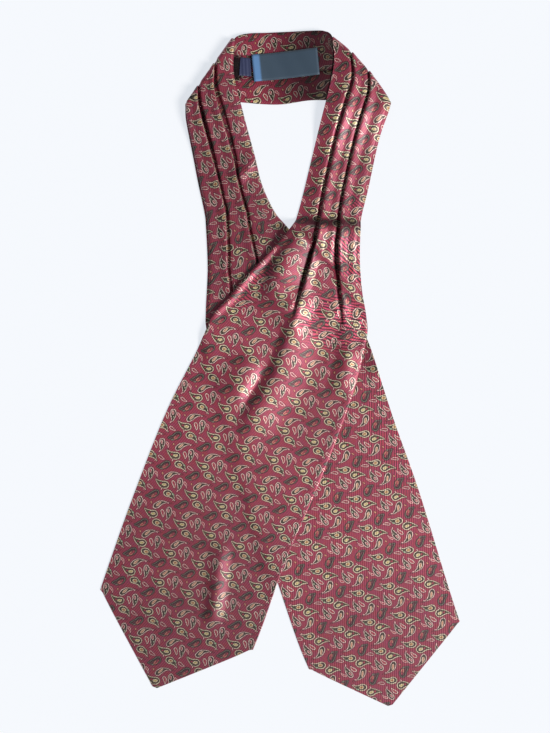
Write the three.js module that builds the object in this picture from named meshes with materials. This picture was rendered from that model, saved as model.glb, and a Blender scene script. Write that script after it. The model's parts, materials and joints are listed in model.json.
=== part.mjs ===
import * as THREE from 'three';

// A silk day cravat laid out flat, its pleated neck ends crossed and its two blades fanned below.
// Millimetres: X to the right, Y up towards the neckband, Z up from the table.

const silkWall = 1.1;
const seamGap = 0.3;
const layerStep = 1.5;
const roundEdge = 0.45;
const neckSpacing = 12;
const bladeSpacing = 21;

// The flattened neckband and the two labels on it.
const bandHeight = 3.0;
const bandRun = 15;
const bandLower = 227;
const labelWall = 0.8;
const brandLabelSize = { length: 50, width: 23.5, tilt: 6.7, x: 9.1, y: 264.1 };
const careLabelSize = { length: 13.4, width: 10.5, tilt: 90, x: -21.1, y: 263.2 };

// How far the silk takes to come down from an edge that it lies on, and its soft raised forms.
const coverRun = 9;
const coverMargin = 5;
const coverGap = 0.45;
const underRise = { fromY: -5, run: 55 };
const edgeRoll = {
  height: 2.2, width: 9, crest: 4, atEdge: 0.45, topY: 132, topRun: 18, endY: 35, endRun: 25,
};
const crease = { x: 15, y: 135.4, slope: -0.095, height: 2.2, above: 13, below: 4.5 };
const softFolds = [
  { fromX: 22, fromY: 52, toX: -10, toY: -24, width: 10, height: 2.6 },
  { fromX: -58, fromY: -150, toX: -64, toY: -205, width: 9, height: 1.4 },
];

// One row per section across an end of the cravat, from the corner fold down to the point.
// outer and inner are the two edges in plan. outerPleat and innerPleat are where the two pleats
// show, as shares of the way from the outer edge. depth is the hidden part of each pleat, rise its
// height as a share of two layers, bow how far the section arcs upwards, and drop how much of the
// band's height the silk has at the corner fold.
const leftNeckRows = [
  { outerX: -81.3, outerY: 230.0, innerX: -41.0, innerY: 286.6, outerPleat: 0.26, innerPleat: 0.60,
    depth: 6, rise: 1, bow: 0, drop: 0.1 },
  { outerX: -79.7, outerY: 227.9, innerX: -39.3, innerY: 284.3, outerPleat: 0.24, innerPleat: 0.58,
    depth: 7, rise: 1, bow: 0, drop: 1 },
  { outerX: -81.8, outerY: 217.4, innerX: -40.5, innerY: 257.4, outerPleat: 0.27, innerPleat: 0.60,
    depth: 8, rise: 1, bow: 0, drop: 1 },
  { outerX: -79.4, outerY: 203.4, innerX: -33.1, innerY: 225.2, outerPleat: 0.285, innerPleat: 0.625,
    depth: 8, rise: 1, bow: 0, drop: 1 },
  { outerX: -75.3, outerY: 182.6, innerX: -22.2, innerY: 185.2, outerPleat: 0.308, innerPleat: 0.647,
    depth: 8, rise: 1, bow: 0, drop: 1 },
  { outerX: -71.3, outerY: 161.7, innerX: -16.1, innerY: 160.8, outerPleat: 0.331, innerPleat: 0.63,
    depth: 8, rise: 1, bow: 0, drop: 1 },
  { outerX: -65.9, outerY: 136.5, innerX: -4.8, innerY: 136.5, outerPleat: 0.3, innerPleat: 0.592,
    depth: 8, rise: 1, bow: 0, drop: 1 },
];
const underBladeRows = [
  { outerX: -65.9, outerY: 136.2, innerX: -4.7, innerY: 136.2, outerPleat: 0.3, innerPleat: 0.592,
    depth: 8, rise: 1, bow: 0 },
  { outerX: -64.6, outerY: 124.3, innerX: 8.7, innerY: 120.4, outerPleat: 0.242, innerPleat: 0.505,
    depth: 8, rise: 1, bow: 0 },
  { outerX: -63.1, outerY: 87.7, innerX: 36.5, innerY: 84.3, outerPleat: 0.17, innerPleat: 0.432,
    depth: 6, rise: 1, bow: 0 },
  { outerX: -64.7, outerY: 50.3, innerX: 64.4, innerY: 46.0, outerPleat: 0.18, innerPleat: 0.47,
    depth: 1.5, rise: 0.6, bow: 0 },
  { outerX: -63.9, outerY: 33.8, innerX: 75.1, innerY: 27.7, outerPleat: 0.22, innerPleat: 0.52,
    depth: 0, rise: 0.3, bow: 0 },
  { outerX: -55.0, outerY: 0.7, innerX: 81.8, innerY: 9.4, outerPleat: 0.26, innerPleat: 0.57,
    depth: 0, rise: 0, bow: 0 },
  { outerX: -32.8, outerY: -80.2, innerX: 99.6, innerY: -45.4, outerPleat: 0.32, innerPleat: 0.65,
    depth: 0, rise: 0, bow: 0 },
  { outerX: -13.9, outerY: -148.9, innerX: 120.8, innerY: -105.4, outerPleat: 0.333, innerPleat: 0.667,
    depth: 0, rise: 0, bow: 0 },
  { outerX: 12.6, outerY: -229.8, innerX: 145.7, innerY: -186.3, outerPleat: 0.333, innerPleat: 0.667,
    depth: 0, rise: 0, bow: 0 },
  { outerX: 25.2, outerY: -261.6, innerX: 156.6, innerY: -219.9, outerPleat: 0.333, innerPleat: 0.667,
    depth: 0, rise: 0, bow: 0 },
];
const underPoint = { x: 96.3, y: -294.6 };

const rightNeckRows = [
  { outerX: 95.6, outerY: 231.0, innerX: 46.1, innerY: 288.4, outerPleat: 0.33, innerPleat: 0.62,
    depth: 6, rise: 1, bow: 3.2, drop: 0.1 },
  { outerX: 93.6, outerY: 229.2, innerX: 45.4, innerY: 285.0, outerPleat: 0.34, innerPleat: 0.62,
    depth: 7, rise: 1, bow: 3.2, drop: 1 },
  { outerX: 93.2, outerY: 221.5, innerX: 46.0, innerY: 259.5, outerPleat: 0.38, innerPleat: 0.645,
    depth: 8, rise: 1, bow: 2, drop: 1 },
  { outerX: 86.1, outerY: 199.1, innerX: 32.6, innerY: 204.3, outerPleat: 0.367, innerPleat: 0.67,
    depth: 8, rise: 1, bow: 0, drop: 1 },
  { outerX: 77.0, outerY: 157.3, innerX: 21.3, innerY: 157.3, outerPleat: 0.367, innerPleat: 0.664,
    depth: 8, rise: 1, bow: 0, drop: 1 },
  { outerX: 71.6, outerY: 135.4, innerX: 15.5, innerY: 135.4, outerPleat: 0.33, innerPleat: 0.629,
    depth: 8, rise: 1, bow: 0, drop: 1 },
];
const overBladeRows = [
  { outerX: 71.5, outerY: 135.1, innerX: 15.4, innerY: 135.1, outerPleat: 0.33, innerPleat: 0.629,
    depth: 8, rise: 1, bow: 0 },
  { outerX: 70.1, outerY: 125.1, innerX: 11.2, innerY: 124.4, outerPleat: 0.3, innerPleat: 0.611,
    depth: 8, rise: 1, bow: 0 },
  { outerX: 69.4, outerY: 106.9, innerX: 0.9, innerY: 111.8, outerPleat: 0.277, innerPleat: 0.556,
    depth: 8, rise: 1, bow: 0 },
  { outerX: 71.8, outerY: 66.0, innerX: -31.3, innerY: 78.2, outerPleat: 0.183, innerPleat: 0.498,
    depth: 5, rise: 0.9, bow: 0 },
  { outerX: 74.8, outerY: 46.0, innerX: -45.2, innerY: 60.8, outerPleat: 0.17, innerPleat: 0.5,
    depth: 1.5, rise: 0.6, bow: 0 },
  { outerX: 74.8, outerY: 25.1, innerX: -58.3, innerY: 46.0, outerPleat: 0.17, innerPleat: 0.51,
    depth: 0, rise: 0.25, bow: 0 },
  { outerX: 63.9, outerY: -20.1, innerX: -73.1, innerY: 14.7, outerPleat: 0.25, innerPleat: 0.55,
    depth: 0, rise: 0, bow: 0 },
  { outerX: 37.4, outerY: -91.5, innerX: -100.0, innerY: -39.3, outerPleat: 0.333, innerPleat: 0.667,
    depth: 0, rise: 0, bow: 0 },
  { outerX: 6.5, outerY: -162.8, innerX: -129.2, innerY: -114.1, outerPleat: 0.333, innerPleat: 0.667,
    depth: 0, rise: 0, bow: 0 },
  { outerX: -13.9, outerY: -220.2, innerX: -149.6, innerY: -171.5, outerPleat: 0.333, innerPleat: 0.667,
    depth: 0, rise: 0, bow: 0 },
  { outerX: -23.5, outerY: -244.6, innerX: -156.6, innerY: -192.4, outerPleat: 0.333, innerPleat: 0.667,
    depth: 0, rise: 0, bow: 0 },
];
const overPoint = { x: -109.8, y: -279.1 };

// Sections across the neckband from left to right: its lower and upper folded edge in plan, and
// how far each turned flap comes back from its own edge.
const bandRows = [
  { lowerX: -66.0, lowerY: 232.6, upperX: -36.4, upperY: 285.6, lowerFlap: 22, upperFlap: 20 },
  { lowerX: -35.7, lowerY: 232.2, upperX: -26.1, upperY: 291.4, lowerFlap: 23.5, upperFlap: 20 },
  { lowerX: -14.0, lowerY: 230.9, upperX: -10.0, upperY: 292.4, lowerFlap: 23.5, upperFlap: 22 },
  { lowerX: 2.6, lowerY: 230.9, upperX: 6.1, upperY: 293.0, lowerFlap: 24.5, upperFlap: 32 },
  { lowerX: 24.4, lowerY: 233.5, upperX: 32.2, upperY: 293.2, lowerFlap: 24.5, upperFlap: 33.5 },
  { lowerX: 44.0, lowerY: 233.4, upperX: 38.0, upperY: 292.6, lowerFlap: 25, upperFlap: 33 },
  { lowerX: 79.0, lowerY: 233.0, upperX: 42.4, upperY: 286.8, lowerFlap: 25, upperFlap: 32 },
];

const turnRadius = layerStep / 2;
const openHalf = 4;
const stripSteps = 4;
const foldFade = 12;
const pointShares = [0.1, 0.4, 0.7, 0.97];
const bandSteps = [0, 1, 2, 3, 4];
const turnAngles = [-45, 0, 45].map((angle) => THREE.MathUtils.degToRad(angle));

function mix(a, b, t) {
  return a + (b - a) * t;
}

function ease(t) {
  const c = Math.min(1, Math.max(0, t));
  return c * c * (3 - 2 * c);
}

// Smooth curve through four row values, for a place between the middle two.
function between(a, b, c, d, t) {
  const bend = 2 * a - 5 * b + 4 * c - d;
  const twist = 3 * b - a - 3 * c + d;
  return 0.5 * (2 * b + (c - a) * t + bend * t * t + twist * t * t * t);
}

// Rows closer together than the table's, the two edges carried smoothly from row to row.
function fillRows(rows, spacing) {
  const filled = [];
  for (let i = 0; i < rows.length - 1; i += 1) {
    const near = [rows[Math.max(0, i - 1)], rows[i], rows[i + 1], rows[Math.min(rows.length - 1, i + 2)]];
    const outerStep = Math.hypot(near[2].outerX - near[1].outerX, near[2].outerY - near[1].outerY);
    const innerStep = Math.hypot(near[2].innerX - near[1].innerX, near[2].innerY - near[1].innerY);
    const steps = Math.max(i === 0 ? 2 : 1, Math.round(Math.max(outerStep, innerStep) / spacing));
    for (let k = 0; k < steps; k += 1) {
      const share = k / steps;
      const row = {};
      Object.keys(rows[i]).forEach((key) => {
        const inPlan = ['outerX', 'outerY', 'innerX', 'innerY'].includes(key);
        const values = near.map((entry) => entry[key]);
        row[key] = inPlan ? between(...values, share) : mix(values[1], values[2], share);
      });
      filled.push(row);
    }
  }
  return [...filled, rows[rows.length - 1]];
}

// Rows that close in on the blade's point from its last full section.
function pointRows(last, point) {
  return pointShares.map((share) => ({
    ...last,
    outerX: mix(last.outerX, point.x, share),
    outerY: mix(last.outerY, point.y, share),
    innerX: mix(last.innerX, point.x, share),
    innerY: mix(last.innerY, point.y, share),
  }));
}

// The centre line of one section as [distance from the inner edge, height] pairs. At each pleat the
// silk goes on under the next strip, turns back, turns again and comes out on top.
function sectionLine(width, row) {
  const folds = [1 - row.innerPleat, 1 - row.outerPleat].map((share) => share * width);
  const ends = [...folds, width];
  const rise = row.rise * 2 * layerStep;
  const closed = ease(row.depth / (2 * layerStep));
  const spread = Math.min(openHalf, width / 12);
  const line = [];
  let start = 0;
  let covered = 0;
  ends.forEach((end, strip) => {
    const first = strip === 0;
    const last = strip === folds.length;
    const next = last ? width : ends[strip + 1];
    const hidden = last ? 0 : Math.min(row.depth, 0.5 * (next - end));
    const from = first ? 0 : start + mix(spread, turnRadius, closed);
    const to = last ? width : end + mix(-spread, hidden - turnRadius, closed);
    const flatTo = first ? from : start + mix(spread, covered + 0.9, closed);
    const downAt = last ? width - 0.3 * spread : end + mix(-1.6 * spread, -0.8, closed);
    const top = first ? 0 : rise;
    line.push([from, top]);
    for (let k = 0; k < stripSteps; k += 1) {
      const share = k / (stripSteps - 1);
      line.push([mix(Math.max(flatTo, from + 0.1 * spread), downAt, share), top * (1 - ease(share))]);
    }
    line.push([to, 0]);
    if (!last) {
      const folded = [];
      turnAngles.forEach((angle) => folded.push([
        end + hidden - turnRadius + turnRadius * Math.cos(angle),
        turnRadius + turnRadius * Math.sin(angle),
      ]));
      folded.push([end + hidden - turnRadius, 2 * turnRadius]);
      folded.push([end + turnRadius, 2 * turnRadius]);
      turnAngles.forEach((angle) => folded.push([
        end + turnRadius - turnRadius * Math.cos(angle),
        3 * turnRadius + turnRadius * Math.sin(angle),
      ]));
      folded.forEach((place, k) => {
        const share = (k + 1) / (folded.length + 1);
        const open = [end - spread + 2 * spread * share, rise * ease(share)];
        line.push([mix(open[0], place[0], closed), mix(open[1], place[1], closed)]);
      });
    }
    start = end;
    covered = hidden;
  });
  return line;
}

// Distance from a place in plan to an outline, negative inside it.
function outlineDistance(outline, x, y) {
  let nearest = Infinity;
  let inside = false;
  outline.forEach(([ax, ay], i) => {
    const [bx, by] = outline[(i + 1) % outline.length];
    const along = ((x - ax) * (bx - ax) + (y - ay) * (by - ay)) / ((bx - ax) ** 2 + (by - ay) ** 2);
    const t = Math.min(1, Math.max(0, along));
    nearest = Math.min(nearest, Math.hypot(x - mix(ax, bx, t), y - mix(ay, by, t)));
    if ((ay > y) !== (by > y) && x < ax + ((y - ay) / (by - ay)) * (bx - ax)) inside = !inside;
  });
  return inside ? -nearest : nearest;
}

function foldHeight(x, y) {
  let height = 0;
  softFolds.forEach((fold) => {
    const runX = fold.toX - fold.fromX;
    const runY = fold.toY - fold.fromY;
    const length = Math.hypot(runX, runY);
    const along = ((x - fold.fromX) * runX + (y - fold.fromY) * runY) / length;
    const beside = Math.abs((x - fold.fromX) * runY - (y - fold.fromY) * runX) / length;
    const fade = ease((along + foldFade) / (2 * foldFade))
      * ease((length + foldFade - along) / (2 * foldFade));
    height += fold.height * fade * (1 - ease(beside / (2 * fold.width)));
  });
  return height;
}

function creaseHeight(x, y) {
  const past = y - crease.y - crease.slope * (x - crease.x);
  const run = past > 0 ? crease.above : crease.below;
  return crease.height * (1 - ease(Math.abs(past) / run));
}

// What the silk of each end lies on, by place in plan.
const underRows = fillRows([...leftNeckRows.slice(0, -1), ...underBladeRows], bladeSpacing);
const underOutline = [
  ...underRows.map((row) => [row.outerX, row.outerY]),
  [underPoint.x, underPoint.y],
  ...underRows.map((row) => [row.innerX, row.innerY]).reverse(),
];

function underTop(y) {
  const rise = ease((y - underRise.fromY) / underRise.run);
  return silkWall + coverGap + rise * 2 * layerStep;
}

function onBand(row, y) {
  return bandHeight * (row.drop ?? 0) * ease((y - bandLower + bandRun) / bandRun);
}

function leftRest(row, x, y) {
  return onBand(row, y);
}

function rightRest(row, x, y, fromInner) {
  const cover = 1 - ease((outlineDistance(underOutline, x, y) - coverMargin) / coverRun);
  const rollIn = ease((edgeRoll.topY - y) / edgeRoll.topRun) * ease((y - edgeRoll.endY) / edgeRoll.endRun);
  const rollAt = fromInner < edgeRoll.crest
    ? ease(fromInner / edgeRoll.crest + edgeRoll.atEdge)
    : 1 - ease((fromInner - edgeRoll.crest) / edgeRoll.width);
  return onBand(row, y) + cover * underTop(y) + foldHeight(x, y) + creaseHeight(x, y)
    + edgeRoll.height * rollIn * rollAt;
}

function plainRest() {
  return 0;
}

// One section as a closed loop of points: up the top face, round the outer edge, back underneath.
function sectionLoop(row, restAt) {
  const dx = row.outerX - row.innerX;
  const dy = row.outerY - row.innerY;
  const width = Math.hypot(dx, dy);
  const side = { x: dx / width, y: dy / width };
  const up = side.x > 0 ? { x: -side.y, y: side.x } : { x: side.y, y: -side.x };
  const line = sectionLine(width, row);
  const half = silkWall / 2;
  const place = (across, height, centre) => {
    const share = across / width;
    const arc = row.bow * 4 * share * (1 - share);
    const x = row.innerX + side.x * across + up.x * arc;
    const y = row.innerY + side.y * across + up.y * arc;
    const cx = row.innerX + side.x * centre;
    const cy = row.innerY + side.y * centre;
    return [x, y, half + height + restAt(row, cx, cy, centre)];
  };
  const upper = [];
  const lower = [];
  line.forEach(([across, height], k) => {
    const before = line[Math.max(0, k - 1)];
    const after = line[Math.min(line.length - 1, k + 1)];
    const one = new THREE.Vector2(across - before[0], height - before[1]);
    const two = new THREE.Vector2(after[0] - across, after[1] - height);
    const run = one.normalize().add(two.normalize()).normalize();
    upper.push(place(across - run.y * half, height + run.x * half, across));
    lower.push(place(across + run.y * half, height - run.x * half, across));
  });
  const outerEdge = place(width + roundEdge, line[line.length - 1][1], width);
  const innerEdge = place(-roundEdge, line[0][1], 0);
  return [...upper, outerEdge, ...lower.reverse(), innerEdge];
}

// A closed wall through loops that all have the same number of points, its two ends filled across.
function wallThrough(loops) {
  const count = loops[0].length;
  const points = loops.flat();
  const faces = [];
  for (let i = 0; i < loops.length - 1; i += 1) {
    for (let k = 0; k < count; k += 1) {
      const a = i * count + k;
      const b = i * count + ((k + 1) % count);
      faces.push([a, a + count, b], [b, a + count, b + count]);
    }
  }
  const top = count / 2 - 1;
  const fillEnd = (first, flip) => {
    const add = (...face) => faces.push((flip ? face.reverse() : face).map((k) => first + k));
    for (let k = 0; k < top - 1; k += 1) {
      const under = count - 2 - k;
      add(k, k + 1, under);
      add(k + 1, under - 1, under);
    }
    add(0, count - 2, count - 1);
    add(top - 1, top, top + 1);
  };
  fillEnd(0, false);
  fillEnd((loops.length - 1) * count, true);
  const geometry = new THREE.BufferGeometry();
  geometry.setAttribute('position', new THREE.Float32BufferAttribute(points.flat(), 3));
  geometry.setIndex(faces.flat());
  return geometry;
}

// Faces outward whichever way round its loops were listed.
function outward(geometry) {
  const place = geometry.getAttribute('position');
  const index = geometry.getIndex().array;
  const corner = [0, 1, 2].map(() => new THREE.Vector3());
  let volume = 0;
  for (let i = 0; i < index.length; i += 3) {
    corner.forEach((point, k) => point.fromBufferAttribute(place, index[i + k]));
    volume += corner[0].dot(corner[1].clone().cross(corner[2]));
  }
  if (volume < 0) {
    for (let i = 0; i < index.length; i += 3) {
      [index[i], index[i + 1]] = [index[i + 1], index[i]];
    }
  }
  geometry.computeVertexNormals();
  return geometry;
}

function silkEnd(rows, restAt) {
  return outward(wallThrough(rows.map((row) => sectionLoop(row, restAt))));
}

// The neckband is one width of silk with both long edges turned in on top, and a slit between them.
function neckband() {
  const half = silkWall / 2;
  const turn = (bandHeight - seamGap - silkWall) / 2;
  const turned = [-90, -60, -30, 0, 30, 60, 90].map((angle) => THREE.MathUtils.degToRad(angle));
  const loops = bandRows.map((row) => {
    const dx = row.upperX - row.lowerX;
    const dy = row.upperY - row.lowerY;
    const height = Math.hypot(dx, dy);
    const line = [];
    bandSteps.forEach((k) => line.push([mix(row.lowerFlap, turn, k / 4), 2 * turn]));
    turned.slice(1, -1).reverse().forEach((angle) => line.push([
      turn - turn * Math.cos(angle),
      turn + turn * Math.sin(angle),
    ]));
    bandSteps.forEach((k) => line.push([mix(turn, height - turn, k / 4), 0]));
    turned.slice(1, -1).forEach((angle) => line.push([
      height - turn + turn * Math.cos(angle),
      turn + turn * Math.sin(angle),
    ]));
    bandSteps.forEach((k) => line.push([mix(height - turn, height - row.upperFlap, k / 4), 2 * turn]));
    const place = (along, lift) => [
      row.lowerX + (dx * along) / height,
      row.lowerY + (dy * along) / height,
      half + lift,
    ];
    const outside = [];
    const inside = [];
    line.forEach(([along, lift], k) => {
      const before = line[Math.max(0, k - 1)];
      const after = line[Math.min(line.length - 1, k + 1)];
      const run = new THREE.Vector2(after[0] - before[0], after[1] - before[1]).normalize();
      inside.push(place(along - run.y * half, lift + run.x * half));
      outside.push(place(along + run.y * half, lift - run.x * half));
    });
    const firstEdge = place(line[0][0] + roundEdge, line[0][1]);
    const lastEdge = place(line[line.length - 1][0] - roundEdge, line[line.length - 1][1]);
    return [...inside, lastEdge, ...outside.reverse(), firstEdge];
  });
  return outward(wallThrough(loops));
}

// A flat ribbon label with its lower side at the given height.
function label(size, height) {
  const geometry = new THREE.BoxGeometry(size.length, size.width, labelWall);
  geometry.rotateZ(THREE.MathUtils.degToRad(size.tilt));
  geometry.translate(size.x, size.y, height + labelWall / 2);
  return geometry;
}

function piece(name, geometry, color) {
  const material = new THREE.MeshStandardMaterial({ color, roughness: 0.6, name });
  const mesh = new THREE.Mesh(geometry, material);
  mesh.name = name;
  return mesh;
}

const burgundy = 0x8e3350;
const paleBlue = 0x8fa9bd;
const navy = 0x1f2a4a;
const underLast = underBladeRows[underBladeRows.length - 1];
const overLast = overBladeRows[overBladeRows.length - 1];
const underAll = [...fillRows(underBladeRows, bladeSpacing), ...pointRows(underLast, underPoint)];
const overAll = [...fillRows(overBladeRows, bladeSpacing), ...pointRows(overLast, overPoint)];

const group = new THREE.Group();
group.name = 'silk_cravat';
group.add(
  piece('neckband', neckband(), burgundy),
  piece('left_neck_end', silkEnd(fillRows(leftNeckRows, neckSpacing), leftRest), burgundy),
  piece('right_neck_end', silkEnd(fillRows(rightNeckRows, neckSpacing), rightRest), burgundy),
  piece('under_blade', silkEnd(underAll, plainRest), burgundy),
  piece('over_blade', silkEnd(overAll, rightRest), burgundy),
  piece('brand_label', label(brandLabelSize, bandHeight), paleBlue),
  piece('care_label', label(careLabelSize, silkWall + seamGap), navy),
);

export default group;
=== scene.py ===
import json
import math
import bpy
import bmesh
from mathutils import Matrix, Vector

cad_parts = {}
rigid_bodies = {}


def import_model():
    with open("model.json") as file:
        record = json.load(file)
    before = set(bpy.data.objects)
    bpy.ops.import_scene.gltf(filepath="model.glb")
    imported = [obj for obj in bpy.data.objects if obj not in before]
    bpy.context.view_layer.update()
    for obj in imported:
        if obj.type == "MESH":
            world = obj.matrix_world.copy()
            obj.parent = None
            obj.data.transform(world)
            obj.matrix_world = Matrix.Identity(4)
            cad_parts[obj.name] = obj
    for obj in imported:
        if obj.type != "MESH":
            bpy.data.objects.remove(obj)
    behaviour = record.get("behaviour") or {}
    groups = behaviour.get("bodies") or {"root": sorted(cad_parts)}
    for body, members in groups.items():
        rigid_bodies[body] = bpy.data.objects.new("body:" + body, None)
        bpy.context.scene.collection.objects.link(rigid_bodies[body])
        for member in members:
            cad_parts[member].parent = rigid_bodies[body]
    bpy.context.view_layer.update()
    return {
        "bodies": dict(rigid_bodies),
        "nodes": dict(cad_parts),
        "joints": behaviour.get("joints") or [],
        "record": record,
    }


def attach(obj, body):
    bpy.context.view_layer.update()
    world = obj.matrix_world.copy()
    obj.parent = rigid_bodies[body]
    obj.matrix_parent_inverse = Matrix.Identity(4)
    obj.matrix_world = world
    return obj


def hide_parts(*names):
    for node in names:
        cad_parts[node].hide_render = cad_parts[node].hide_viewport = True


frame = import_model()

# Silk day cravat, laid out flat and seen from straight above. Sizes are in millimetres, and are
# turned to metres when a point is placed.
mm = 0.001
scene = bpy.context.scene


def mix(a, b, t):
    return a + (b - a) * t


def ease(t):
    t = min(1.0, max(0.0, t))
    return t * t * (3 - 2 * t)


def between(a, b, c, d, t):
    # smooth curve from b to c, with a and d as its neighbours
    return 0.5 * (2 * b + (c - a) * t + (2 * a - 5 * b + 4 * c - d) * t * t
                  + (3 * b - a - 3 * c + d) * t * t * t)


def rowsAround(rows, i):
    # the two rows that a stretch lies between, with their neighbours
    return [rows[max(0, i - 1)], rows[i], rows[i + 1], rows[min(len(rows) - 1, i + 2)]]


def rgb(code, alpha=1.0):
    # a colour picked as #rrggbb, turned to the linear values that the nodes want
    parts = [int(code[i:i + 2], 16) / 255 for i in (1, 3, 5)]
    return tuple(p / 12.92 if p <= 0.04045 else ((p + 0.055) / 1.055) ** 2.4 for p in parts) + (alpha,)


view = {"x": -4.35, "y": 2.2, "up": 888.0, "lens": 50.0, "sensor": 36.0, "clip": 20.0}

camData = bpy.data.cameras.new("fromAbove")
camData.lens = view["lens"]
camData.sensor_width = view["sensor"]
camData.clip_end = view["clip"]
cam = bpy.data.objects.new("fromAbove", camData)
cam.location = (view["x"] * mm, view["y"] * mm, view["up"] * mm)
scene.collection.objects.link(cam)
scene.camera = cam

light = {"strength": 4.3, "spread": 22.0, "turn": 62.0, "lean": 50.0, "colour": (1.0, 0.975, 0.95),
         "fill": 0.26, "fillColour": (0.93, 0.96, 1.0, 1)}

sunData = bpy.data.lights.new("window", "SUN")
sunData.energy = light["strength"]
sunData.angle = math.radians(light["spread"])
sunData.color = light["colour"]
sun = bpy.data.objects.new("window", sunData)
sun.rotation_euler = (math.radians(light["lean"]), 0, math.radians(light["turn"]))
sun.location = (0.8, -0.4, 0.9)
scene.collection.objects.link(sun)

world = bpy.data.worlds.new("room")
world.use_nodes = True
sky = world.node_tree.nodes["Background"]
sky.inputs["Color"].default_value = light["fillColour"]
sky.inputs["Strength"].default_value = light["fill"]
scene.world = world
scene.view_settings.view_transform = "Standard"

# the table glows a little, so that it stays white where the silk shades it
table = {"half": 3.0, "paint": (0.22, 0.21, 0.20, 1), "roughness": 0.8, "shine": 0.1,
         "glow": (0.67, 0.71, 0.765, 1)}


def makeTable():
    bm = bmesh.new()
    bmesh.ops.create_grid(bm, x_segments=4, y_segments=4, size=table["half"])
    mesh = bpy.data.meshes.new("tableTop")
    bm.to_mesh(mesh)
    bm.free()
    top = bpy.data.objects.new("tableTop", mesh)
    scene.collection.objects.link(top)
    paint = bpy.data.materials.new("paleTable")
    paint.use_nodes = True
    shader = paint.node_tree.nodes["Principled BSDF"]
    shader.inputs["Base Color"].default_value = table["paint"]
    shader.inputs["Roughness"].default_value = table["roughness"]
    shader.inputs["Specular IOR Level"].default_value = table["shine"]
    shader.inputs["Emission Color"].default_value = table["glow"]
    shader.inputs["Emission Strength"].default_value = 1.0
    mesh.materials.append(paint)


makeTable()
print("camera, window light and table are set")


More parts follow.
